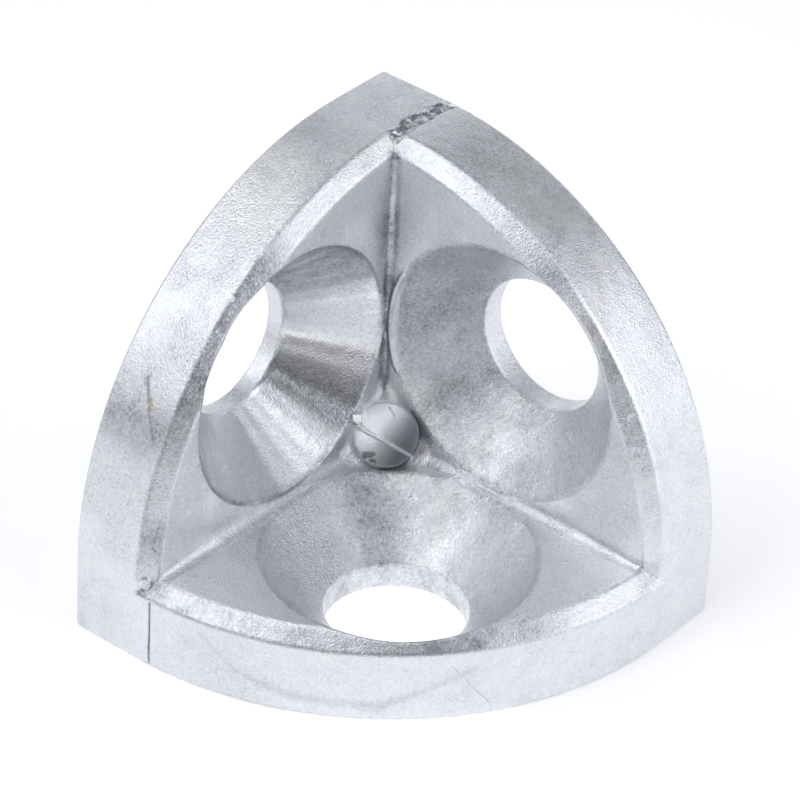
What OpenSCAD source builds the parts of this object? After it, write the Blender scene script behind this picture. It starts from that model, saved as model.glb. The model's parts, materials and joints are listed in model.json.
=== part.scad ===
// Profile corner bracket: one die casting that joins three aluminium profiles
// at right angles. Three equal plates meet in an outer corner; each has one
// rounded corner, a chamfered rim and a deep countersink that opens to the
// inside. A low boss with a domed top stands in the inner corner.

/* [Plates] */
// Side of each plate, along the two mounting planes next to it
plate_side = 28; // [27:0.5:34]
// Thickness of each plate, from mounting face to inner face
plate_t = 6; // [5.5:0.25:7]
// Radius of the plate's rounded corner
corner_r = 23; // [21:0.5:26]
// Chamfer between the rim band and the inner face
rim_chamfer = 1; // [0.4:0.1:1.5]
// Fillet in the three valleys where the inner faces meet
valley_r = 0.3; // [0.15:0.05:0.35]

/* [Screw holes] */
// Distance of each screw axis from the two neighbouring mounting planes
screw_offset = 15; // [15:0.25:17]
// Bore for the screw's shank, clearance for M8
screw_bore_d = 9; // [8.4:0.2:10]
// Diameter of the countersink at the inner face
head_mouth_d = 17.2; // [15:0.2:17.2]
// Straight length of the bores in the floor plate and the right plate
bore_land = 1.8; // [1:0.1:2.5]
// Straight length of the bore in the left plate, which the main die half forms
left_bore_land = 1.3; // [1:0.1:2.5]

/* [Corner boss] */
// Diameter of the boss in the inner corner, round the space diagonal
boss_d = 4.2; // [3:0.1:4.4]
// Height of its top above the point where the inner faces meet
boss_h = 3.8; // [3.2:0.1:4.2]
// Radius of its domed top
boss_dome_r = 6; // [5:0.25:9]
// Distance of the dome's highest point from the diagonal, away from the left plate
boss_lean = 1.4; // [0:0.1:1.8]

/* [Hidden] */
$fn = 96;
CAST_METAL = [0.78, 0.79, 0.82];
DIAGONAL = [1, 1, 1];
// Turn about the diagonal to the side away from the left plate
AWAY_FROM_LEFT = 105;
// The arc of a plate's outline is drawn about this point from both edges
arc_centre = plate_side - corner_r;
// Height of the straight rim band above the mounting face
band_h = plate_t - rim_chamfer;
// The cutting tools pass the surfaces they open by this much
over = 1;
// The fillet's cutter is this much larger, so that it crosses the faces cleanly
fillet_bite = 0.01;

// Turns the floor plate's place into that of the right plate (1) or left plate (2)
module on_plate(index) {
    rotate(a = 120 * index, v = DIAGONAL)
        children();
}

// Square with one rounded corner, in the mounting plane
module plate_outline() {
    intersection() {
        square(plate_side);
        union() {
            translate([arc_centre, arc_centre])
                circle(r = corner_r);
            square([plate_side, arc_centre]);
            square([arc_centre, plate_side]);
        }
    }
}

// Floor plate: a straight band, then the chamfer up to the inner face
module plate() {
    linear_extrude(band_h)
        plate_outline();
    intersection() {
        cube([plate_side, plate_side, plate_t]);
        translate([arc_centre, arc_centre, 0]) {
            cylinder(r = corner_r, h = band_h);
            translate([0, 0, band_h])
                cylinder(r1 = corner_r, r2 = corner_r - rim_chamfer, h = rim_chamfer);
        }
    }
}

// Fillet in the valley between the floor plate and the left plate, along X
module valley_fillet() {
    length = plate_side - rim_chamfer - valley_r;
    difference() {
        translate([0, band_h, band_h])
            cube([length, rim_chamfer + valley_r, rim_chamfer + valley_r]);
        translate([-over, plate_t + valley_r, plate_t + valley_r])
            rotate([0, 90, 0])
                cylinder(r = valley_r + fillet_bite, h = length + 2 * over);
    }
}

// Cutter for the floor plate's bore and countersink
module screw_hole(land) {
    translate([screw_offset, screw_offset, 0]) {
        translate([0, 0, -over])
            cylinder(d = screw_bore_d, h = land + over);
        translate([0, 0, land])
            cylinder(d1 = screw_bore_d, d2 = head_mouth_d, h = plate_t - land);
        translate([0, 0, plate_t])
            cylinder(d = head_mouth_d, h = over);
    }
}

// Boss round the space diagonal; its dome slopes down to the left plate
module corner_boss() {
    root = plate_t / 2;
    translate(plate_t * DIAGONAL)
        rotate(a = acos(1 / sqrt(3)), v = [-1, 1, 0])
            intersection() {
                translate([0, 0, -root])
                    cylinder(d = boss_d, h = root + boss_h);
                rotate([0, 0, AWAY_FROM_LEFT])
                    translate([boss_lean, 0, boss_h - boss_dome_r])
                        sphere(r = boss_dome_r);
            }
}

// The casting stands on its floor plate, with its box centred on the Z axis
module corner_bracket() {
    color(CAST_METAL)
        translate([-plate_side / 2, -plate_side / 2, 0])
            difference() {
                union() {
                    for (index = [0 : 2])
                        on_plate(index) {
                            plate();
                            valley_fillet();
                        }
                    corner_boss();
                }
                for (index = [0 : 2])
                    on_plate(index)
                        screw_hole(index == 2 ? left_bore_land : bore_land);
            }
}

corner_bracket();
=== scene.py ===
"""Looks of the profile corner bracket: its cast surface, raw metal, floor, lights and camera.

The casting is shaped as a distance field in millimetres, in its own corner frame: the three
mounting faces lie on x = 0 (right plate), y = 0 (left plate) and z = 0 (floor plate).
"""

import itertools
import json
import math

import bmesh
import bpy
import numpy as np
from mathutils import Matrix, Vector


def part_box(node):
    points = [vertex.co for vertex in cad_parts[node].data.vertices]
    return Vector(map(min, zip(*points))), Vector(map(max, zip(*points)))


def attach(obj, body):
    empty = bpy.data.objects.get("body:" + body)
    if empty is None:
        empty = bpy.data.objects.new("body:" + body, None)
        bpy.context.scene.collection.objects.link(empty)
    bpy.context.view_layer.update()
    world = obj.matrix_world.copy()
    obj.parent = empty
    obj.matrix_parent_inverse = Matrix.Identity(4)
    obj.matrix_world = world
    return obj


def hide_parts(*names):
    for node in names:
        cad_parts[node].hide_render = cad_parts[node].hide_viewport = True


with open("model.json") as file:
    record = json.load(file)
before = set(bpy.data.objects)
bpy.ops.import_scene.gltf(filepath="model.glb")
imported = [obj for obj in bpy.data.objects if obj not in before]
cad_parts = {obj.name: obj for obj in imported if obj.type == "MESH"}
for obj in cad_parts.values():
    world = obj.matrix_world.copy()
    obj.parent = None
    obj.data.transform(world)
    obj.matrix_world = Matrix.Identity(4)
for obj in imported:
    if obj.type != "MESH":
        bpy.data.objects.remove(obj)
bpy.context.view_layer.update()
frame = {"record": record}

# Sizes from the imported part
MM = 0.001
NODE = "corner_bracket"
MOUNTS = {mount["name"]: mount for mount in frame["record"]["mounts"]}
node_low, node_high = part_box(NODE)
SIDE = (node_high.x - node_low.x) / MM
CORNER = np.array(node_low)
SCREW_AT = (MOUNTS["floor_screw_bore"]["pos_m"][0] - node_low.x) / MM
BORE_R = MOUNTS["floor_screw_bore"]["dims"]["r_mm"]
LANDS = [MOUNTS[side + "_screw_bore"]["dims"]["length_mm"] for side in ("floor", "right", "left")]

# Sizes that the record doesn't hold, as in the part's source
PLATE_T = 6.0
CORNER_R = 23.0
RIM_CHAMFER = 1.0
MOUTH_R = 8.6
BOSS_R = 2.1
BOSS_TOP = 3.8
BOSS_DOME_R = 6.0
BOSS_LEAN = 1.4
LEAN_TURN = math.radians(30)
BAND_H = PLATE_T - RIM_CHAMFER

# Valley fillets, which taper towards the rims, and the filled root of the boss
VALLEY_RADII = (1.0, 0.35, 1.0)
VALLEY_END_FILLET = 0.3
VALLEY_TAPER = 5.0
BOSS_ROOT_TOP = 2.5
BOSS_ROOT_REACH = 4.2
BOSS_ROOT_FILLET = 0.4

# How the casting's edges are broken
BACK_EDGE_R = 0.25
RIM_EDGE_R = 0.14
CAST_MOUTH_R = 0.22
LEFT_MOUTH_R = 0.14
BORE_EDGE_R = 0.12
BOSS_EDGE_R = 0.14
VALLEY_END_R = 0.12

# Marks of casting and use, in the corner frame; waves give a period and a rise
WAVES = [(5.0, 0.045), (1.7, 0.020)]
WAVES_OFF_BACK = 0.8
END_FACE_DEPTH = 0.6
END_FACE_SOFT = 0.2
PARTING_Y = 6.05
PARTING_TOP = 4.7
PARTING_DEPTH = 0.14
PARTING_HALF = 0.07
PARTING_WANDER = 0.1
PARTING_WANDER_PERIOD = 1.3
GATE_AT_TOP = 5.56
GATE_LEAN = -0.07
GATE_HALF = 0.52
GATE_START = 0.5
GATE_END = 5.4
GATE_RAGGED = 0.6
GATE_RAGGED_PERIOD = 0.9
GATE_DEPTH = 0.15
GATE_SUNK = 0.3
RUBBLE_RISE = 1.5
RUBBLE_PERIOD = 0.5
FINE_RUBBLE = 0.6
FINE_RUBBLE_PERIOD = 0.24
BLISTER = (27.64, 5.36, 5.76)
BLISTER_R = 0.42
BLISTER_RISE = 0.12
BLISTER_SOFT = 0.16
NICKS = [(19.73, 4.93, 22.65), (21.04, 5.33, 21.02), (5.34, 24.82, 16.0), (5.65, 25.48, 13.95)]
NICK_R = 0.24
NICK_DEPTH = 0.07
NICK_SOFT = 0.2
BURR_RISE = 0.28
BURR_HALF = 0.25
BURR_Y_MAX = 7.2
BURR_Z = (11.8, 18.6)
# Waves a turn, phase and rise of the left countersink's drawn surface
DRAW_WAVES = [(6, 0.6, 0.030), (13, 2.1, 0.028), (27, 4.4, 0.011)]

# Flash and flaws on the boss; places across the diagonal are a to the right and b upwards
SEAM_OFFSET = 0.6
SEAM_HALF = 0.13
SEAM_RISE = 0.10
FLASH_SIDE = 2.05
FLASH_HALF = 1.08
FLASH_MIDDLE = 0.28
FLASH_TAB_LOW = (-2.12, 0.70)
FLASH_TAB_HIGH = (-1.50, 1.36)
FLASH_TAB_TOP = 3.66
FLASH_TAB_SLOPE = 0.35
FLASH_TAB_EDGE_R = 0.1
FLASH_TAB_FILLET = 0.35
BOSS_SLOTS = [((-1.42, -1.30), (-0.90, -1.26), 0.20), ((-1.02, -1.68), (-0.78, -1.72), 0.12)]
BOSS_SLOT_DEPTH = 0.06
BOSS_SLOT_EDGE_R = 0.05
BOSS_MASK_SOFT = 0.1

# How far a point may lie off a surface that it belongs to
SKIN = 0.06
SKIN_SOFT = 0.05

# Painted shade and painted sheen of the surface; values in threes are for the floor, right and left plate
MOUTH_SHADE = (0.15, 0.15, 0.5)
MOUTH_SHADE_HALF = 0.16
FLAT_SHADE = (0.0, 0.12, 0.15)
FLAT_SHEEN = (0.5, 0.0, 0.0)
EDGE_SHADE = (0.3, 0.0, 0.5)
EDGE_SHADE_HALF = (0.12, 0.14)
FLOOR_BORE_SHADE = 0.4
VALLEY_SHADE = 0.6
VALLEY_SHADE_WIDTH = 0.7
VALLEY_SHADE_Z = (20.5, 24.0)
VALLEY_LINE_SHADE = 0.25
VALLEY_LINE_HALF = 0.7
STRIP_SHADE = 0.6
STRIP_WIDTH = 0.25
STRIP_SOFT = 0.35
GROOVE_SHADE = 1.0
GROOVE_Z = (7.0, 19.0)
BOSS_SHADE = 1.4
BOSS_SHADE_WAY = (0.84, -0.54)
BOSS_SHADE_REACH = 3.4
BOSS_SHADE_MIDDLE = 0.4
SEAM_SHEEN = 0.7
CORNER_SHADE = 0.12
CORNER_SHADE_R = 3.4
CORNER_SHADE_LEVEL = (16.0, 27.0)
# Painted shade (above 0) and painted highlight (below 0) stretches along a plate's cone or rim: angle,
# width, amount
CONE_STRETCHES = [
    [(233, 16, 0.5), (135, 30, -1.0), (195, 14, -1.0), (312, 30, -0.7)],
    [(170, 40, 0.42), (224, 16, 0.42), (256, 14, -1.0), (290, 20, -0.6), (328, 30, -1.0)],
    [(228, 14, 0.6), (256, 12, -1.0), (193, 14, -0.8), (140, 32, -0.8), (285, 10, -0.6), (320, 30, 0.5)],
]
BAND_STRETCHES = [
    [(14, 6, 0.1)],
    [(76, 9, 0.32)],
    [(63, 4.5, 0.5), (9, 6, 0.15), (24, 8, -1.0)],
]
CHAMFER_STRETCHES = [
    [(0, 6, 0.7), (9, 5, 0.4), (18, 6, 0.35), (27, 6, 0.4), (47, 9, 0.6), (54, 6, 0.6), (63, 5, 0.4)],
    [(27, 5, 0.3), (36, 4, 0.1), (54, 4, 0.45), (65, 6, 0.15), (84, 9, 0.25), (45, 4, -0.6)],
    [(36, 6, 0.7), (45, 6, 0.5), (54, 7, 0.75), (63, 6, 0.4), (72, 5, 0.2), (81, 6, 0.6), (3, 8, -1.0)],
]

# Roughness of the skin from 0 to 1, in threes as above, and the height that the right band is smooth to
CONE_ROUGH = (0.5, 0.5, 0.0)
FLAT_ROUGH = (0.8, 0.0, 0.0)
BAND_ROUGH = (0.25, 0.25, 1.0)
CHAMFER_ROUGH = 0.4
SMOOTH_BAND_TOP = 22.0
SMOOTH_BAND_SOFT = 4.0

# Grid that the surface is drawn on, and the turns of the surface across a face past which it is split
MARGIN = 0.4
GRID = 0.26
SPLIT_TURNS = (14.0, 30.0, 50.0)
MARK_REACH = 0.6
BACK_TOLERANCE = 0.0005
SETTLE_ROUNDS = 3
LEAST_SLOPE = 0.3


def round_max(a, b, radius):
    """Intersection of two distance fields, with the edge between them rounded."""
    inner = np.minimum(np.maximum(a, b), -radius)
    return inner + np.hypot(np.maximum(a + radius, 0), np.maximum(b + radius, 0))


def round_min(a, b, radius):
    """Union of two distance fields, with the corner between them filleted."""
    outer = np.maximum(np.minimum(a, b), radius)
    return outer - np.hypot(np.maximum(radius - a, 0), np.maximum(radius - b, 0))


def bell(value, centre, width):
    """Smooth bump of height 1 about the centre."""
    return np.exp(-(((value - centre) / width) ** 2))


def within(value, low, high, soft):
    """1 between low and high, falling to 0 over the soft width outside them."""
    return np.clip((value - low) / soft + 1, 0, 1) * np.clip((high - value) / soft + 1, 0, 1)


def disc(x, y, z, centre, radius, soft):
    """1 near the centre, falling to 0 over the soft width about the radius."""
    apart = np.sqrt((x - centre[0]) ** 2 + (y - centre[1]) ** 2 + (z - centre[2]) ** 2)
    return np.clip((radius - apart) / soft + 0.5, 0, 1)


NOISE_CELLS = 32
NOISE_SEED = 11
noise_lattice = np.random.default_rng(NOISE_SEED).random((NOISE_CELLS,) * 3)


def value_noise(x, y, z, period):
    """Smooth noise from 0 to 1 with the given period in millimetres."""
    total = 0.0
    places = [axis / period for axis in (x, y, z)]
    cells = [np.floor(place).astype(int) for place in places]
    parts = [place - cell for place, cell in zip(places, cells)]
    eased = [part * part * (3 - 2 * part) for part in parts]
    for corner in itertools.product((0, 1), repeat=3):
        weight = 1.0
        for share, step in zip(eased, corner):
            weight = weight * (share if step else 1 - share)
        index = tuple((cell + step) % NOISE_CELLS for cell, step in zip(cells, corner))
        total = total + weight * noise_lattice[index]
    return total


def rim_distance(u, v):
    """Distance outside a plate's outline: a square with one rounded corner."""
    du, dv = u - (SIDE - CORNER_R), v - (SIDE - CORNER_R)
    past = np.hypot(np.maximum(du, 0), np.maximum(dv, 0))
    return past + np.minimum(np.maximum(du, dv), 0) - CORNER_R


def chamfer_distance(rim, w):
    """Distance outside the chamfer between the rim band and the inner face."""
    return (rim + w - BAND_H) * math.sqrt(0.5)


def from_screw_axis(u, v):
    return np.hypot(u - SCREW_AT, v - SCREW_AT)


def countersink_distance(from_axis, w, land):
    """Distance outside the countersink's cone, which stops at the mouth's radius."""
    slope = (MOUTH_R - BORE_R) / (PLATE_T - land)
    cone = (from_axis - BORE_R - (w - land) * slope) / math.hypot(1, slope)
    return np.maximum(cone, from_axis - MOUTH_R)


def boss_places(x, y, z):
    """Height along the space diagonal above the inner corner, and place across it: right and up."""
    along = (x + y + z - 3 * PLATE_T) / math.sqrt(3)
    return along, (y - x) / math.sqrt(2), (2 * z - x - y) / math.sqrt(6)


DOME_AT = (BOSS_LEAN * math.cos(LEAN_TURN), -BOSS_LEAN * math.sin(LEAN_TURN))


def flat_segment_distance(a, b, start, end):
    """Distance from the straight line between two points of a plane."""
    run = np.subtract(end, start)
    share = np.clip(((a - start[0]) * run[0] + (b - start[1]) * run[1]) / (run @ run), 0, 1)
    return np.hypot(a - start[0] - share * run[0], b - start[1] - share * run[1])


def boss_slot_distance(a, b):
    """Distance from the two cold shuts at the boss's lower left edge."""
    slots = [flat_segment_distance(a, b, start, end) - radius for start, end, radius in BOSS_SLOTS]
    return np.minimum(*slots)


def boss_outline(a, b):
    """Distance outside the boss's outline: round, squared off by flash towards the left plate."""
    flash = np.maximum(np.maximum(-a - FLASH_SIDE, a), np.abs(b - FLASH_MIDDLE) - FLASH_HALF)
    return np.minimum(np.hypot(a, b) - BOSS_R, flash)


def flash_tab_field(along, a, b):
    """Tab of flash at the upper left of the boss, which hangs over the edge of the left countersink."""
    across = np.maximum(FLASH_TAB_LOW[0] - a, a - FLASH_TAB_HIGH[0])
    upward = np.maximum(FLASH_TAB_LOW[1] - b, b - FLASH_TAB_HIGH[1])
    top = along - FLASH_TAB_TOP - FLASH_TAB_SLOPE * (FLASH_TAB_HIGH[1] - b)
    return round_max(np.maximum(across, upward), top, FLASH_TAB_EDGE_R)


def boss_field(x, y, z):
    """Boss round the space diagonal: its dome slopes down to the left plate."""
    along, a, b = boss_places(x, y, z)
    dome_place = (a - DOME_AT[0], b - DOME_AT[1], along - BOSS_TOP + BOSS_DOME_R)
    dome = np.sqrt(sum(part**2 for part in dome_place)) - BOSS_DOME_R
    boss = round_max(dome, boss_outline(a, b), BOSS_EDGE_R)
    slot = np.maximum(boss_slot_distance(a, b), -dome - BOSS_SLOT_DEPTH)
    boss = round_max(boss, -slot, BOSS_SLOT_EDGE_R)
    return round_min(boss, flash_tab_field(along, a, b), FLASH_TAB_FILLET)


def plate_places(x, y, z):
    """The point in the frames of the floor, right and left plate: u and v in its plane, w off it."""
    return [(x, y, z), (y, z, x), (z, x, y)]


def plain_field(x, y, z):
    """The casting without its marks: negative inside the metal."""
    places = plate_places(x, y, z)
    tops = [w - PLATE_T for u, v, w in places]
    rims = [rim_distance(u, v) for u, v, w in places]
    chamfers = [chamfer_distance(rim, w) for rim, (u, v, w) in zip(rims, places)]
    metal = None
    for one in range(3):
        other = (one + 1) % 3
        plate = round_max(round_max(rims[one], tops[one], RIM_EDGE_R / 2), chamfers[one], RIM_EDGE_R)
        to_end = SIDE - RIM_CHAMFER - (x, y, z)[other]
        taper = np.clip(to_end / VALLEY_TAPER, 0, 1)
        radius = VALLEY_END_FILLET + (VALLEY_RADII[one] - VALLEY_END_FILLET) * taper
        fillet = round_min(tops[one], tops[other], radius)
        valley = np.maximum(fillet, np.maximum(rims[one], rims[other]))
        valley = round_max(valley, np.maximum(chamfers[one], chamfers[other]), VALLEY_END_R)
        joined = np.minimum(plate, valley)
        metal = joined if metal is None else np.minimum(metal, joined)
    outer_corner = round_max(round_max(-x, -y, BACK_EDGE_R), -z, BACK_EDGE_R)
    metal = round_max(metal, outer_corner, BACK_EDGE_R)
    for (u, v, w), land, edge in zip(places, LANDS, (CAST_MOUTH_R, CAST_MOUTH_R, LEFT_MOUTH_R)):
        from_axis = from_screw_axis(u, v)
        hole = round_min(from_axis - BORE_R, countersink_distance(from_axis, w, land), BORE_EDGE_R)
        metal = round_max(metal, -hole, edge)
    along, a, b = boss_places(x, y, z)
    root_half = BOSS_ROOT_TOP / 2
    root = np.maximum(np.abs(along - root_half) - root_half, np.hypot(a, b) - BOSS_ROOT_REACH)
    metal = round_min(metal, root, BOSS_ROOT_FILLET)
    return np.minimum(metal, boss_field(x, y, z))


def on_end_face(value):
    """1 on the end face of the corner that the value runs to."""
    return within(value, SIDE - END_FACE_DEPTH, SIDE + 1, END_FACE_SOFT)


def gate_mask(x, y, z):
    """The broken-off gate: a ragged strip across the top corner's end face."""
    ragged = GATE_RAGGED * (value_noise(x, y, z, GATE_RAGGED_PERIOD) - 0.5)
    off_line = y - GATE_AT_TOP - GATE_LEAN * x + ragged
    on_strip = within(off_line, -GATE_HALF, GATE_HALF, 0.1)
    return on_strip * within(x, GATE_START, GATE_END, 0.3) * on_end_face(z)


def parting_mask(x, y, z):
    """The hairline between the die halves, down the end face at the lower left corner."""
    wander = PARTING_WANDER * (value_noise(x, 0 * y, z, PARTING_WANDER_PERIOD) - 0.5)
    on_line = bell(y, PARTING_Y + wander, PARTING_HALF)
    return on_line * on_end_face(x) * within(z, -1, PARTING_TOP, 0.2)


def left_cone_mask(x, y, z):
    """1 on the left countersink, clear of its bore and mouth."""
    across = within(from_screw_axis(z, x), BORE_R, MOUTH_R, 0.1)
    return across * within(y, LANDS[2] + 0.2, PLATE_T - 0.1, 0.2)


def add_marks(metal, x, y, z):
    """Lays the marks of casting and use on the plain form."""
    off_back = np.clip(np.minimum(np.minimum(x, y), z) / WAVES_OFF_BACK - 0.2, 0, 1)
    for period, rise in WAVES:
        metal = metal + off_back * rise * (value_noise(x, y, z, period) - 0.5)
    fine_rubble = FINE_RUBBLE * value_noise(y, z, x, FINE_RUBBLE_PERIOD)
    rubble = value_noise(x, y, z, RUBBLE_PERIOD) + fine_rubble - 0.5
    metal = metal + gate_mask(x, y, z) * GATE_DEPTH * (GATE_SUNK + RUBBLE_RISE * rubble)
    metal = metal + parting_mask(x, y, z) * PARTING_DEPTH
    metal = metal - BLISTER_RISE * disc(x, y, z, BLISTER, BLISTER_R, BLISTER_SOFT)
    for nick in NICKS:
        metal = metal + NICK_DEPTH * disc(x, y, z, nick, NICK_R, NICK_SOFT)
    turn = np.arctan2(z - SCREW_AT, x - SCREW_AT)
    on_left_cone = left_cone_mask(x, y, z)
    for count, phase, rise in DRAW_WAVES:
        metal = metal + on_left_cone * rise * np.sin(count * turn + phase)
    metal = metal - BURR_RISE * burr_mask(x, y, z)
    return metal - SEAM_RISE * on_boss(x, y, z) * bell(x - z, SEAM_OFFSET, SEAM_HALF)


def burr_mask(x, y, z):
    """The bead on the right plate between its countersink and the upright valley."""
    beside_mouth = bell(from_screw_axis(y, z), MOUTH_R, BURR_HALF)
    along_valley = within(y, 0, BURR_Y_MAX, 0.5) * within(z, *BURR_Z, 0.8)
    return beside_mouth * along_valley * within(x, PLATE_T - 0.4, PLATE_T + 0.6, 0.2)


def on_boss(x, y, z):
    """1 on the boss, 0 away from it."""
    return np.clip(1.5 - np.maximum(boss_field(x, y, z), 0) / BOSS_MASK_SOFT, 0, 1)


def casting_field(x, y, z):
    """The finished casting; the marks are worked out near the surface only."""
    metal = plain_field(x, y, z)
    near = np.abs(metal) < MARK_REACH
    metal[near] = add_marks(metal[near], x[near], y[near], z[near])
    return np.maximum(metal, -np.minimum(np.minimum(x, y), z))


def field_slope(points, step=0.002):
    """Gradient of the casting's field at the points."""
    slope = np.empty_like(points)
    for axis in range(3):
        shift = np.zeros(3)
        shift[axis] = step
        ahead = casting_field(*(points + shift).T)
        behind = casting_field(*(points - shift).T)
        slope[:, axis] = (ahead - behind) / (2 * step)
    return slope


def surface_net(field, axes):
    """Quads on the field's zero level: one vertex in each crossed cell of the grid."""
    inside = field < 0
    cells = tuple(count - 1 for count in field.shape)
    full = np.zeros(cells, np.int8)
    for corner in itertools.product((0, 1), repeat=3):
        full += inside[tuple(slice(step, step + count) for step, count in zip(corner, cells))]
    crossed = (full > 0) & (full < 8)
    number = np.full(cells, -1, np.int32)
    number[crossed] = np.arange(crossed.sum())
    cell = np.argwhere(crossed)
    total = np.zeros((len(cell), 3))
    count = np.zeros(len(cell))
    quads = []
    for axis in range(3):
        second, third = (axis + 1) % 3, (axis + 2) % 3
        for step_b, step_c in itertools.product((0, 1), repeat=2):
            start = cell.copy()
            start[:, second] += step_b
            start[:, third] += step_c
            end = start.copy()
            end[:, axis] += 1
            first_value, last_value = field[tuple(start.T)], field[tuple(end.T)]
            cut = (first_value < 0) != (last_value < 0)
            share = np.where(cut, first_value / np.where(cut, first_value - last_value, 1), 0)
            point = np.stack([axes[k][start[:, k]] for k in range(3)], axis=1)
            point[:, axis] += share * (axes[axis][end[:, axis]] - axes[axis][start[:, axis]])
            total += point * cut[:, None]
            count += cut
        low = tuple(slice(0, -1) if k == axis else slice(1, -1) for k in range(3))
        high = tuple(slice(1, None) if k == axis else slice(1, -1) for k in range(3))
        for outward in (True, False):
            flips = inside[low] & ~inside[high] if outward else ~inside[low] & inside[high]
            node = np.argwhere(flips)
            for k in (second, third):
                node[:, k] += 1
            ring = []
            for step_b, step_c in ((-1, -1), (0, -1), (0, 0), (-1, 0)):
                place = node.copy()
                place[:, second] += step_b
                place[:, third] += step_c
                ring.append(number[tuple(place.T)])
            quads.append(np.stack(ring if outward else ring[::-1], axis=1))
    return total / count[:, None], np.concatenate(quads)


def cast_surface():
    """Points and quads of the casting's skin on the even grid."""
    axis = np.arange(-MARGIN, SIDE + MARGIN + GRID, GRID)
    field = np.empty([len(axis)] * 3, np.float32)
    y, z = np.meshgrid(axis, axis, indexing="ij")
    for row, x in enumerate(axis):
        field[row] = casting_field(np.full_like(y, x), y, z)
    return surface_net(field, [axis] * 3)


def settle_on_field(mesh):
    """Moves the mesh's points exactly onto the field."""
    points = mesh_points(mesh)
    for _ in range(SETTLE_ROUNDS):
        slope = field_slope(points)
        size = np.maximum((slope**2).sum(axis=1, keepdims=True), LEAST_SLOPE)
        move = -casting_field(*points.T)[:, None] * slope / size
        points += np.clip(move, -GRID / 2, GRID / 2)
    mesh.vertices.foreach_set("co", (CORNER + points * MM).ravel())


def split_turning_faces(mesh, turn):
    """Splits the faces across which the surface turns by more than the given angle, in degrees."""
    normals = field_normals(mesh)
    ends = np.empty(len(mesh.edges) * 2, np.int32)
    mesh.edges.foreach_get("vertices", ends)
    turning = (normals[ends[0::2]] * normals[ends[1::2]]).sum(axis=1) < math.cos(math.radians(turn))
    work = bmesh.new()
    work.from_mesh(mesh)
    split = np.zeros(len(work.edges), bool)
    for face in work.faces:
        indices = [edge.index for edge in face.edges]
        if turning[indices].any():
            split[indices] = True
    work.edges.ensure_lookup_table()
    chosen = [work.edges[index] for index in np.flatnonzero(split)]
    bmesh.ops.subdivide_edges(work, edges=chosen, cuts=1, use_grid_fill=True)
    work.to_mesh(mesh)
    work.free()


def thin_back_faces(mesh):
    """Replaces the dense grid in the middle of the three flat mounting faces by a few triangles."""
    for axis in range(3):
        work = bmesh.new()
        work.from_mesh(mesh)
        flat = CORNER[axis]

        def on_face(vert):
            return abs(vert.co[axis] - flat) < BACK_TOLERANCE * MM

        inner = [face for face in work.faces if all(on_face(vert) for vert in face.verts)]
        chosen = set(inner)
        border = [f for f in inner if any(n not in chosen for e in f.edges for n in e.link_faces)]
        bmesh.ops.delete(work, geom=list(chosen - set(border)), context="FACES")
        edges = [e for e in work.edges if len(e.link_faces) == 1 and all(map(on_face, e.verts))]
        normal = Vector([-1.0 if k == axis else 0.0 for k in range(3)])
        bmesh.ops.triangle_fill(work, edges=edges, use_beauty=True, normal=normal)
        work.to_mesh(mesh)
        work.free()


def mesh_points(mesh):
    """The mesh's points in millimetres, in the corner frame."""
    flat = np.empty(len(mesh.vertices) * 3)
    mesh.vertices.foreach_get("co", flat)
    return (flat.reshape(-1, 3) - CORNER) / MM


def field_normals(mesh):
    """Unit normals at the mesh's points, straight from the field."""
    slope = field_slope(mesh_points(mesh))
    return slope / np.maximum(np.linalg.norm(slope, axis=1, keepdims=True), 1e-6)


def smooth_by_field(mesh):
    """Shading normals from the field, so that edges of any size shade cleanly."""
    mesh.polygons.foreach_set("use_smooth", [True] * len(mesh.polygons))
    mesh.normals_split_custom_set_from_vertices(field_normals(mesh).tolist())


def on_skin(distance):
    """1 where the distance from a surface is next to nothing."""
    return within(distance, -SKIN, SKIN, SKIN_SOFT)


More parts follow.
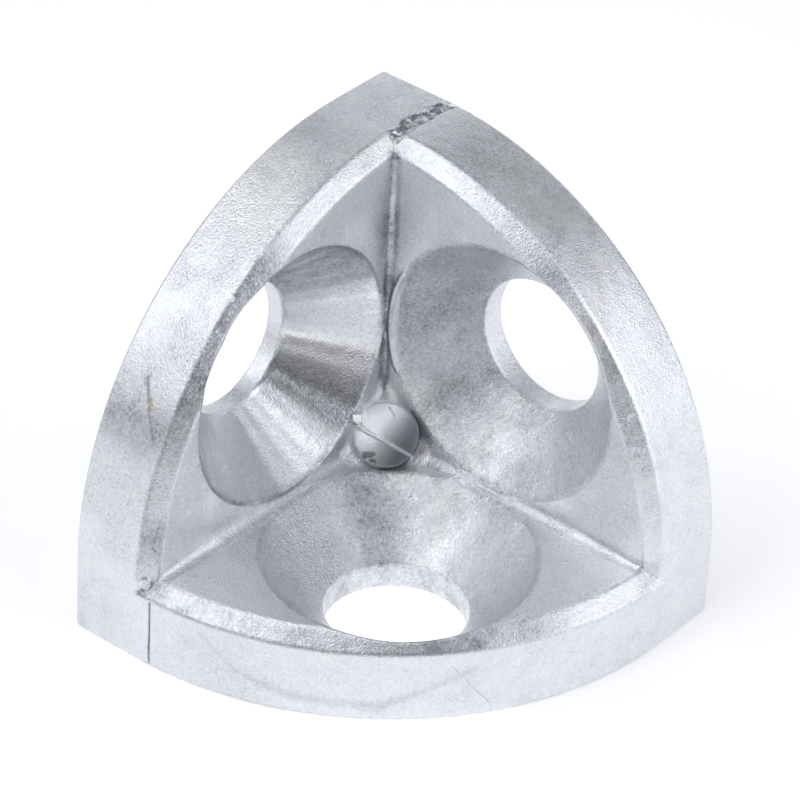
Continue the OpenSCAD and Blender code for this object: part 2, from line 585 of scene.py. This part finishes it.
def mark_zones(mesh):
    """Values at the points that say how each stretch of the surface was formed, and where shade and
    highlights are painted on it.
    """
    x, y, z = mesh_points(mesh).T
    names = ("smooth_wall", "coarse_grain", "worn_rim", "painted_shade", "rough_skin", "painted_highlight")
    zones = {name: np.zeros(len(x)) for name in names}

    def raise_zone(name, value):
        zones[name] = np.maximum(zones[name], value)

    # Lays painted shade (amount above 0) or a painted highlight (below 0) along an angle round a cone or
    # rim
    def lay_stretches(where, angle, stretches):
        for centre, width, amount in stretches:
            apart = (angle - centre + 180) % 360 - 180
            zone = "painted_shade" if amount > 0 else "painted_highlight"
            raise_zone(zone, where * abs(amount) * bell(apart, 0, width))

    for index, ((u, v, w), land) in enumerate(zip(plate_places(x, y, z), LANDS)):
        from_axis = from_screw_axis(u, v)
        rim = rim_distance(u, v)
        cone = on_skin(countersink_distance(from_axis, w, land))
        cone = cone * within(w, land, PLATE_T, SKIN_SOFT) * (from_axis < MOUTH_R + 0.1)
        mouth_edge = bell(from_axis, MOUTH_R, MOUTH_SHADE_HALF) * within(w, PLATE_T - 0.2, PLATE_T, 0.1)
        on_chamfer = on_skin(chamfer_distance(rim, w)) * within(rim, -RIM_CHAMFER, -SKIN, SKIN_SOFT)
        on_flat = on_skin(w - PLATE_T) * (from_axis > MOUTH_R) * (rim < -RIM_CHAMFER)
        on_band = on_skin(rim) * within(w, 0, BAND_H, SKIN_SOFT)
        under_chamfer = bell(rim, 0, EDGE_SHADE_HALF[0]) * bell(w, BAND_H, EDGE_SHADE_HALF[1])
        screw_angle = np.degrees(np.arctan2(v - SCREW_AT, u - SCREW_AT))
        arc_angle = np.degrees(np.arctan2(v - SIDE + CORNER_R, u - SIDE + CORNER_R))

        raise_zone("smooth_wall" if index == 2 else "coarse_grain", cone)
        if index == 1:
            raise_zone("smooth_wall", on_band * within(z, 0, SMOOTH_BAND_TOP, SMOOTH_BAND_SOFT))
        raise_zone("worn_rim", on_chamfer)
        raise_zone("rough_skin", on_band * BAND_ROUGH[index])
        raise_zone("rough_skin", on_chamfer * CHAMFER_ROUGH)
        raise_zone("rough_skin", cone * CONE_ROUGH[index])
        raise_zone("rough_skin", on_flat * FLAT_ROUGH[index])
        # Painted sheen on the floor's flat, painted shade on the right and left plates' flats
        raise_zone("painted_highlight", on_flat * FLAT_SHEEN[index])
        raise_zone("painted_shade", on_flat * FLAT_SHADE[index])
        # Painted shade along each countersink's mouth edge
        raise_zone("painted_shade", mouth_edge * MOUTH_SHADE[index])
        # Painted shade along the edge under each chamfer
        raise_zone("painted_shade", under_chamfer * EDGE_SHADE[index] * (u > PLATE_T) * (v > PLATE_T))
        lay_stretches(cone, screw_angle, CONE_STRETCHES[index])
        lay_stretches(on_chamfer, arc_angle, CHAMFER_STRETCHES[index])
        lay_stretches(on_band, arc_angle, BAND_STRETCHES[index])

    zones["gate_break"] = gate_mask(x, y, z)
    zones["hairline"] = parting_mask(x, y, z)
    zones["boss"] = on_boss(x, y, z)
    off_boss = 1 - zones["boss"]

    # Painted shade on the floor bore's wall
    in_floor_bore = on_skin(from_screw_axis(x, y) - BORE_R) * (z < LANDS[0])
    raise_zone("painted_shade", FLOOR_BORE_SHADE * in_floor_bore)
    # Painted shade on the left plate's flat beside the upper stretch of the upright valley
    beside_valley = within(x, PLATE_T, PLATE_T + VALLEY_SHADE_WIDTH, 1.6) * within(z, *VALLEY_SHADE_Z, 3.0)
    beside_valley = beside_valley * within(y, PLATE_T - 0.1, PLATE_T + 0.5, 0.1)
    raise_zone("painted_shade", VALLEY_SHADE * beside_valley)
    # Painted shade along the upright valley, darker still in its groove between the heights in GROOVE_Z
    strip_x, strip_y = [within(axis, PLATE_T - 0.1, PLATE_T + STRIP_WIDTH, STRIP_SOFT) for axis in (x, y)]
    raise_zone("painted_shade", STRIP_SHADE * strip_x * strip_y)
    raise_zone("painted_shade", GROOVE_SHADE * strip_x * strip_y * within(z, *GROOVE_Z, 1.5))
    # Painted shade along the floor's two valleys, off the boss
    for off_wall in (x - PLATE_T, y - PLATE_T):
        on_line = np.maximum(np.abs(off_wall), np.abs(z - PLATE_T)) < VALLEY_LINE_HALF
        raise_zone("painted_shade", VALLEY_LINE_SHADE * on_line * off_boss)

    # Painted shade on the boss, growing towards its lower right and lifted on the seam's crest, and a
    # painted highlight on its upper left
    _, a, b = boss_places(x, y, z)
    towards_shade = (a * BOSS_SHADE_WAY[0] + b * BOSS_SHADE_WAY[1]) / BOSS_SHADE_REACH
    shaded_side = np.clip(BOSS_SHADE_MIDDLE + towards_shade, 0, 1)
    off_seam = 1 - SEAM_SHEEN * bell(x - z, SEAM_OFFSET, SEAM_HALF)
    raise_zone("painted_shade", zones["boss"] * BOSS_SHADE * shaded_side * off_seam)
    raise_zone("painted_highlight", zones["boss"] * (1 - shaded_side))
    # Painted shade in the corner left of the boss, and a painted highlight right of it
    in_corner = within(np.hypot(a, b), 0, CORNER_SHADE_R, 1.2) * within(x + y + z, *CORNER_SHADE_LEVEL, 2.0)
    raise_zone("painted_shade", off_boss * in_corner * CORNER_SHADE * (a < 0))
    raise_zone("painted_highlight", off_boss * in_corner * (a > 0))

    for name, values in zones.items():
        layer = mesh.attributes.new(name, "FLOAT", "POINT")
        layer.data.foreach_set("value", values.astype(np.float32))


def build_casting():
    points, quads = cast_surface()
    mesh = bpy.data.meshes.new("casting")
    mesh.from_pydata(CORNER + points * MM, [], quads.tolist())
    settle_on_field(mesh)
    for turn in SPLIT_TURNS:
        split_turning_faces(mesh, turn)
        settle_on_field(mesh)
    thin_back_faces(mesh)
    mark_zones(mesh)
    smooth_by_field(mesh)
    piece = bpy.data.objects.new("casting", mesh)
    bpy.context.scene.collection.objects.link(piece)
    return piece


# Materials


def boss_point(a, b):
    """The place on the boss's dome at a to the right and b up."""
    drop = BOSS_DOME_R - math.sqrt(BOSS_DOME_R**2 - (a - DOME_AT[0]) ** 2 - (b - DOME_AT[1]) ** 2)
    level = PLATE_T + (BOSS_TOP - drop) / math.sqrt(3)
    side, rise = a / math.sqrt(2), b / math.sqrt(6)
    return (level - side - rise, level + side - rise, level + 2 * rise)


# Tints of the metal, of what lies on it, and of painted shade and painted highlights
METAL_COOL = (0.775, 0.79, 0.838, 1)
METAL_WARM = (0.84, 0.849, 0.874, 1)
DIRT_AND_SHADE_TINT = (0.238, 0.244, 0.272, 1)
PAINTED_HIGHLIGHT_TINT = (0.97, 0.975, 0.985, 1)
STAIN_TINT = (0.62, 0.54, 0.33, 1)
SCRATCH_TINT = (0.93, 0.93, 0.95, 1)
# Drawn marks, and painted shade in the boss's two slots: from, to and width in millimetres, in the corner
# frame, and strength
DARK_STROKES = [
    ((24.08, 2.17, 17.85), (25.77, 4.16, 14.89), 0.32, 0.8),
    ((19.38, 22.95, 4.00), (17.35, 24.41, 0.83), 0.07, 0.5),
    ((27.50, 9.78, 4.20), (26.87, 12.10, 2.20), 0.4, 0.20),
    ((26.87, 12.10, 2.20), (25.50, 15.43, 1.27), 0.5, 0.24),
    ((25.50, 15.43, 1.27), (22.44, 20.00, 1.11), 0.5, 0.26),
    ((22.44, 20.00, 1.11), (18.47, 23.65, 3.54), 0.5, 0.26),
    (boss_point(0.25, 1.70), boss_point(0.58, 1.12), 0.11, 0.9),
    # Painted shade in the boss's two shallow slots, dark as if they were deep
    (boss_point(-1.42, -1.30), boss_point(-0.90, -1.26), 0.27, 1.9),
    (boss_point(-1.02, -1.68), boss_point(-0.78, -1.72), 0.22, 1.9),
    ((9.60, 10.60, 4.50), (10.90, 10.00, 3.70), 1.2, 0.35),
]
STAINS = [
    ((24.75, 3.10, 16.80), (24.95, 3.35, 16.40), 0.38, 0.95),
    ((2.51, 18.94, 23.30), (4.35, 21.81, 20.70), 0.55, 0.25),
]
SCRATCHES = [
    ((23.57, 1.93, 18.58), (23.54, 4.34, 18.61), 0.06, 0.7),
    ((23.20, 1.60, 18.95), (23.30, 3.60, 18.90), 0.05, 0.5),
]


def add(tree, kind, links=None, **settings):
    """Adds a node; links gives each input socket a value or another node's output."""
    node = tree.nodes.new(kind)
    for name, value in settings.items():
        setattr(node, name, value)
    for name, value in (links or {}).items():
        socket = node.inputs[name]
        if isinstance(value, bpy.types.NodeSocket):
            tree.links.new(value, socket)
        else:
            socket.default_value = value
    return node


def calc(tree, operation, first, second=0.0, clamp=False):
    links = {0: first, 1: second}
    return add(tree, "ShaderNodeMath", links, operation=operation, use_clamp=clamp).outputs[0]


def multiply(tree, first, second):
    return calc(tree, "MULTIPLY", first, second)


def strongest(tree, first, second):
    return calc(tree, "MAXIMUM", first, second)


def vector(tree, operation, first, second=(0, 0, 0)):
    return add(tree, "ShaderNodeVectorMath", {0: first, 1: second}, operation=operation)


def blend(tree, factor, first, second):
    links = {"Factor": factor, 6: first, 7: second}
    return add(tree, "ShaderNodeMix", links, data_type="RGBA").outputs[2]


def noise(tree, place, per_mm, detail=2.0, roughness=0.5):
    """Noise with so many waves a millimetre."""
    links = {"Vector": place, "Scale": per_mm / MM, "Detail": detail, "Roughness": roughness}
    return add(tree, "ShaderNodeTexNoise", links).outputs["Fac"]


def spread(tree, value, low, high, to_low=0.0, to_high=1.0):
    links = {"Value": value, "From Min": low, "From Max": high, "To Min": to_low, "To Max": to_high}
    return add(tree, "ShaderNodeMapRange", links, clamp=True).outputs["Result"]


def scaled_on(tree, zone, scale):
    """1 off the zone, and the given scale on it."""
    return spread(tree, zone, 0.0, 1.0, 1.0, scale)


def new_group(name, inputs, output):
    """Empty shader group; inputs gives each socket's name and type."""
    tree = bpy.data.node_groups.new(name, "ShaderNodeTree")
    for socket, kind in inputs.items():
        tree.interface.new_socket(socket, in_out="INPUT", socket_type=kind)
    tree.interface.new_socket(output, in_out="OUTPUT", socket_type="NodeSocketFloat")
    return tree, add(tree, "NodeGroupInput").outputs, add(tree, "NodeGroupOutput").inputs


# Waves a millimetre and detail of a drawn mark's ragged edge, and how far its width varies
RAGGED_EDGE = (3.0, 3.0)
RAGGED_WIDTH = (0.4, 1.6)


def stroke_group():
    """Mask of a drawn line: 1 on the way between two points, ragged at its edge."""
    sockets = {name: "NodeSocketVector" for name in ("Place", "From", "To")}
    sockets["Width"] = "NodeSocketFloat"
    tree, given, result = new_group("stroke_mask", sockets, "Mask")
    off = vector(tree, "SUBTRACT", given["Place"], given["From"]).outputs[0]
    run = vector(tree, "SUBTRACT", given["To"], given["From"]).outputs[0]
    along = vector(tree, "DOT_PRODUCT", off, run).outputs["Value"]
    length = vector(tree, "DOT_PRODUCT", run, run).outputs["Value"]
    share = calc(tree, "DIVIDE", along, length, clamp=True)
    nearest = add(tree, "ShaderNodeVectorMath", {0: run, "Scale": share}, operation="SCALE").outputs[0]
    apart = vector(tree, "DISTANCE", off, nearest).outputs["Value"]
    ragged = spread(tree, noise(tree, given["Place"], *RAGGED_EDGE), 0.3, 0.7, *RAGGED_WIDTH)
    fading = calc(tree, "DIVIDE", apart, multiply(tree, given["Width"], ragged))
    tree.links.new(calc(tree, "SUBTRACT", 1.0, fading, clamp=True), result["Mask"])
    return tree


def marks(tree, place, group, strokes):
    """The strongest of the strokes at each place."""
    total = None
    for start, end, width, strength in strokes:
        ends = [Vector(CORNER + np.array(point) * MM) for point in (start, end)]
        links = {"Place": place, "From": ends[0], "To": ends[1], "Width": width * MM}
        node = add(tree, "ShaderNodeGroup", links, node_tree=group)
        mask = multiply(tree, node.outputs["Mask"], strength)
        total = mask if total is None else strongest(tree, total, mask)
    return total


# Noises of the skin: waves a millimetre, detail and roughness
GRAIN = (8.0, 2.0, 0.6)
GRIT = (2.6, 3.0, 0.6)
SPECK = (4.5, 3.0, 0.7)
PATCH = (0.8, 4.0, 0.6)
CLOUD = (0.25, 3.0, 0.6)

# Dirt and painted shade from 0 to 1, and what scales them
PIT_DIRT = 0.5
HAIRLINE_DIRT = 0.9
GATE_DIRT = (1.0, 0.2)
WORN_DIRT = 0.12
SPECKLE_DIRT = 0.22
COARSE_SPECKLE = 1.5
BOSS_SPECKLE = 0.2
BOSS_MOTTLE = 0.9

# Roughness and bump of the skin
ROUGHNESS = (0.25, 0.36)
SMOOTH_WALL_GLOSS = 0.06
BOSS_DULLNESS = 0.1
BUMP_MM = 0.034
GRAIN_BUMP = 1.3
GRIT_BUMP = 0.45
ROUGH_SKIN_BUMP = 1.5
COARSE_BUMP = 1.9
SMOOTH_WALL_BUMP = 0.5
BOSS_BUMP = 0.3


def cast_metal():
    """Raw die-cast metal: silvery, finely grained, smoother in the left countersink; shade and highlights
    painted.
    """
    material = bpy.data.materials.new("cast_metal")
    material.use_nodes = True
    tree = material.node_tree
    shader = tree.nodes["Principled BSDF"]
    place = add(tree, "ShaderNodeTexCoord").outputs["Object"]
    names = ("smooth_wall", "coarse_grain", "worn_rim", "gate_break", "hairline", "boss")
    names = names + ("painted_highlight", "painted_shade", "rough_skin")
    smooth, coarse, worn, gate, hairline, boss, painted_highlight, painted_shade, rough_skin = [
        add(tree, "ShaderNodeAttribute", attribute_name=name).outputs["Fac"] for name in names
    ]
    grain, grit, speck, patch, cloud = [
        noise(tree, place, *settings) for settings in (GRAIN, GRIT, SPECK, PATCH, CLOUD)
    ]
    uneven = spread(tree, cloud, 0.38, 0.62, 0.6, 1.3)
    uneven = multiply(tree, uneven, scaled_on(tree, rough_skin, ROUGH_SKIN_BUMP))

    mottle = spread(tree, patch, 0.3, 0.65, 0.4, 1.25)
    mottle = multiply(tree, mottle, spread(tree, speck, 0.3, 0.7, 0.7, 1.3))
    # Painted shade, broken up by mottle off the boss and scaled evenly on it; dirt and marks are added to
    # it
    dirt_and_shade = multiply(tree, painted_shade, spread(tree, boss, 0.0, 1.0, mottle, BOSS_MOTTLE))
    dirt_and_shade = strongest(tree, dirt_and_shade, multiply(tree, hairline, HAIRLINE_DIRT))
    dirt_and_shade = strongest(tree, dirt_and_shade, multiply(tree, gate, spread(tree, grit, 0.42, 0.58, *GATE_DIRT)))
    dirt_and_shade = strongest(tree, dirt_and_shade, multiply(tree, worn, spread(tree, patch, 0.35, 0.6, WORN_DIRT, 0.0)))
    stroke = stroke_group()
    dirt_and_shade = strongest(tree, dirt_and_shade, marks(tree, place, stroke, DARK_STROKES))
    pits = spread(tree, grain, 0.22, 0.42, PIT_DIRT, 0.0)
    pits = multiply(tree, pits, spread(tree, cloud, 0.45, 0.62, 0.1, 1.0))
    dirt_and_shade = calc(tree, "ADD", dirt_and_shade, multiply(tree, pits, uneven))
    speckle = spread(tree, speck, 0.42, 0.75, 0.0, SPECKLE_DIRT)
    speckle = multiply(tree, speckle, scaled_on(tree, coarse, COARSE_SPECKLE))
    speckle = multiply(tree, speckle, scaled_on(tree, boss, BOSS_SPECKLE))
    dirt_and_shade = calc(tree, "ADD", dirt_and_shade, speckle, clamp=True)

    base = blend(tree, spread(tree, patch, 0.35, 0.65), METAL_COOL, METAL_WARM)
    # Painted highlights lighten stretches of the cones and rims, the floor's flat, the boss's upper left
    # and the corner right of it
    base = blend(tree, painted_highlight, base, PAINTED_HIGHLIGHT_TINT)
    base = blend(tree, marks(tree, place, stroke, STAINS), base, STAIN_TINT)
    # Dirt, wear and marks, together with the painted shade, darken the metal
    base = blend(tree, dirt_and_shade, base, DIRT_AND_SHADE_TINT)
    base = blend(tree, marks(tree, place, stroke, SCRATCHES), base, SCRATCH_TINT)
    tree.links.new(base, shader.inputs["Base Color"])
    shader.inputs["Metallic"].default_value = 1.0

    rough = spread(tree, patch, 0.3, 0.7, *ROUGHNESS)
    rough = calc(tree, "SUBTRACT", rough, multiply(tree, smooth, SMOOTH_WALL_GLOSS))
    rough = calc(tree, "ADD", rough, multiply(tree, boss, BOSS_DULLNESS))
    tree.links.new(rough, shader.inputs["Roughness"])

    strength = multiply(tree, uneven, scaled_on(tree, smooth, SMOOTH_WALL_BUMP))
    strength = multiply(tree, strength, scaled_on(tree, boss, BOSS_BUMP))
    strength = multiply(tree, strength, scaled_on(tree, coarse, COARSE_BUMP))
    height = calc(tree, "ADD", multiply(tree, grain, GRAIN_BUMP), multiply(tree, grit, GRIT_BUMP))
    height = multiply(tree, height, strength)
    bump = add(tree, "ShaderNodeBump", {"Height": height, "Strength": 1.0, "Distance": BUMP_MM * MM})
    tree.links.new(bump.outputs["Normal"], shader.inputs["Normal"])
    return material


# Stage

FLOOR_HALF = 1.5
FLOOR_WHITE = (0.88, 0.88, 0.88, 1)
FLOOR_ROUGHNESS = 0.9
FLOOR_SPECULAR = 0.1
FLOOR_GLOW = 0.30
FLOOR_GLOW_REACH = (0.05, 0.25)
UNDER_GLOW = 0.5
UNDER_GLOW_REACH = (0.006, 0.012)


def pale_floor():
    """White table; a soft glow under the bracket stands for the light that the bright table holds."""
    mesh = bpy.data.meshes.new("floor")
    corners = [(-1, -1), (1, -1), (1, 1), (-1, 1)]
    mesh.from_pydata([(FLOOR_HALF * i, FLOOR_HALF * j, 0) for i, j in corners], [], [(0, 1, 2, 3)])
    floor = bpy.data.objects.new("floor", mesh)
    bpy.context.scene.collection.objects.link(floor)
    material = bpy.data.materials.new("pale_floor")
    material.use_nodes = True
    tree = material.node_tree
    shader = tree.nodes["Principled BSDF"]
    shader.inputs["Base Color"].default_value = FLOOR_WHITE
    shader.inputs["Roughness"].default_value = FLOOR_ROUGHNESS
    shader.inputs["Specular IOR Level"].default_value = FLOOR_SPECULAR
    shader.inputs["Emission Color"].default_value = (1, 1, 1, 1)
    place = add(tree, "ShaderNodeTexCoord").outputs["Object"]
    distance = add(tree, "ShaderNodeVectorMath", {0: place}, operation="LENGTH").outputs["Value"]
    glow = spread(tree, distance, *FLOOR_GLOW_REACH, FLOOR_GLOW, 0.0)
    under = spread(tree, distance, *UNDER_GLOW_REACH, UNDER_GLOW, 0.0)
    tree.links.new(calc(tree, "ADD", glow, under), shader.inputs["Emission Strength"])
    mesh.materials.append(material)


# Area lights: name, azimuth, elevation, width, height, radiance
SOFTBOXES = [
    ("left", -48, 42, 0.91, 0.78, 0.96),
    ("left_low", -62, 12, 0.40, 0.34, 0.40),
    ("left_fill", -5, 33, 0.34, 0.46, 1.35),
    ("left_high", 0, 60, 0.46, 0.30, 0.80),
    ("right", 109, 24, 0.93, 0.80, 1.20),
    ("back", 210, 22, 1.10, 0.34, 1.00),
    ("back_high", 135, 60, 0.50, 0.30, 0.40),
    ("top", 0, 82, 0.40, 0.40, 1.70),
]
LIGHT_DISTANCE = 0.8
LIGHT_TINT = (0.97, 0.985, 1.025)
BACKDROP = (0.272, 0.276, 0.288, 1)


def softbox(name, azimuth, elevation, width, height, radiance):
    """Area light that looks at the bracket from the given side; azimuth is counted from +X to +Y."""
    aim = Vector((0, 0, SIDE / 2 * MM))
    turn, rise = math.radians(azimuth), math.radians(elevation)
    out = Vector((math.cos(rise) * math.cos(turn), math.cos(rise) * math.sin(turn), math.sin(rise)))
    data = bpy.data.lights.new(name, "AREA")
    data.shape = "RECTANGLE"
    data.size, data.size_y = width, height
    data.color = LIGHT_TINT
    data.energy = radiance * math.pi * width * height
    light = bpy.data.objects.new(name, data)
    light.location = aim + out * LIGHT_DISTANCE
    light.rotation_euler = out.to_track_quat("Z", "Y").to_euler()
    bpy.context.scene.collection.objects.link(light)


def studio_light():
    for box in SOFTBOXES:
        softbox(*box)
    world = bpy.data.worlds.new("studio")
    world.use_nodes = True
    backdrop = world.node_tree.nodes["Background"]
    backdrop.inputs["Color"].default_value = BACKDROP
    bpy.context.scene.world = world
    bpy.context.scene.view_settings.view_transform = "Standard"


# The photograph's camera, fitted to the bracket's outline and bores
VIEW_AZIMUTH = 38.045
VIEW_ELEVATION = 34.855
VIEW_ROLL = 3.001
VIEW_DISTANCE = 289.78
VIEW_CENTRE = 11.2
VIEW_SHIFT_RIGHT = 0.325
VIEW_SHIFT_UP = 2.148
FOCAL_PIXELS = 4686.3
PHOTO_WIDTH = 800
SENSOR = 36.0
CLIP_START = 0.01


def photo_camera():
    turn, rise, roll = map(math.radians, (VIEW_AZIMUTH, VIEW_ELEVATION, VIEW_ROLL))
    back = Vector((math.cos(rise) * math.cos(turn), math.cos(rise) * math.sin(turn), math.sin(rise)))
    level = Vector((-math.sin(turn), math.cos(turn), 0))
    upright = back.cross(level)
    right = math.cos(roll) * level + math.sin(roll) * upright
    up = math.cos(roll) * upright - math.sin(roll) * level
    aim = Vector((VIEW_CENTRE,) * 3) + VIEW_SHIFT_RIGHT * right + VIEW_SHIFT_UP * up
    place = Vector(CORNER) + (aim + VIEW_DISTANCE * back) * MM
    data = bpy.data.cameras.new("photo_camera")
    data.sensor_width = SENSOR
    data.sensor_fit = "HORIZONTAL"
    data.lens = FOCAL_PIXELS / PHOTO_WIDTH * SENSOR
    data.clip_start = CLIP_START
    camera = bpy.data.objects.new("photo_camera", data)
    camera.matrix_world = Matrix.Translation(place) @ Matrix((right, up, back)).transposed().to_4x4()
    bpy.context.scene.collection.objects.link(camera)
    bpy.context.scene.camera = camera


casting = build_casting()
casting.data.materials.append(cast_metal())
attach(casting, "root")
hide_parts(NODE)

pale_floor()
studio_light()
photo_camera()
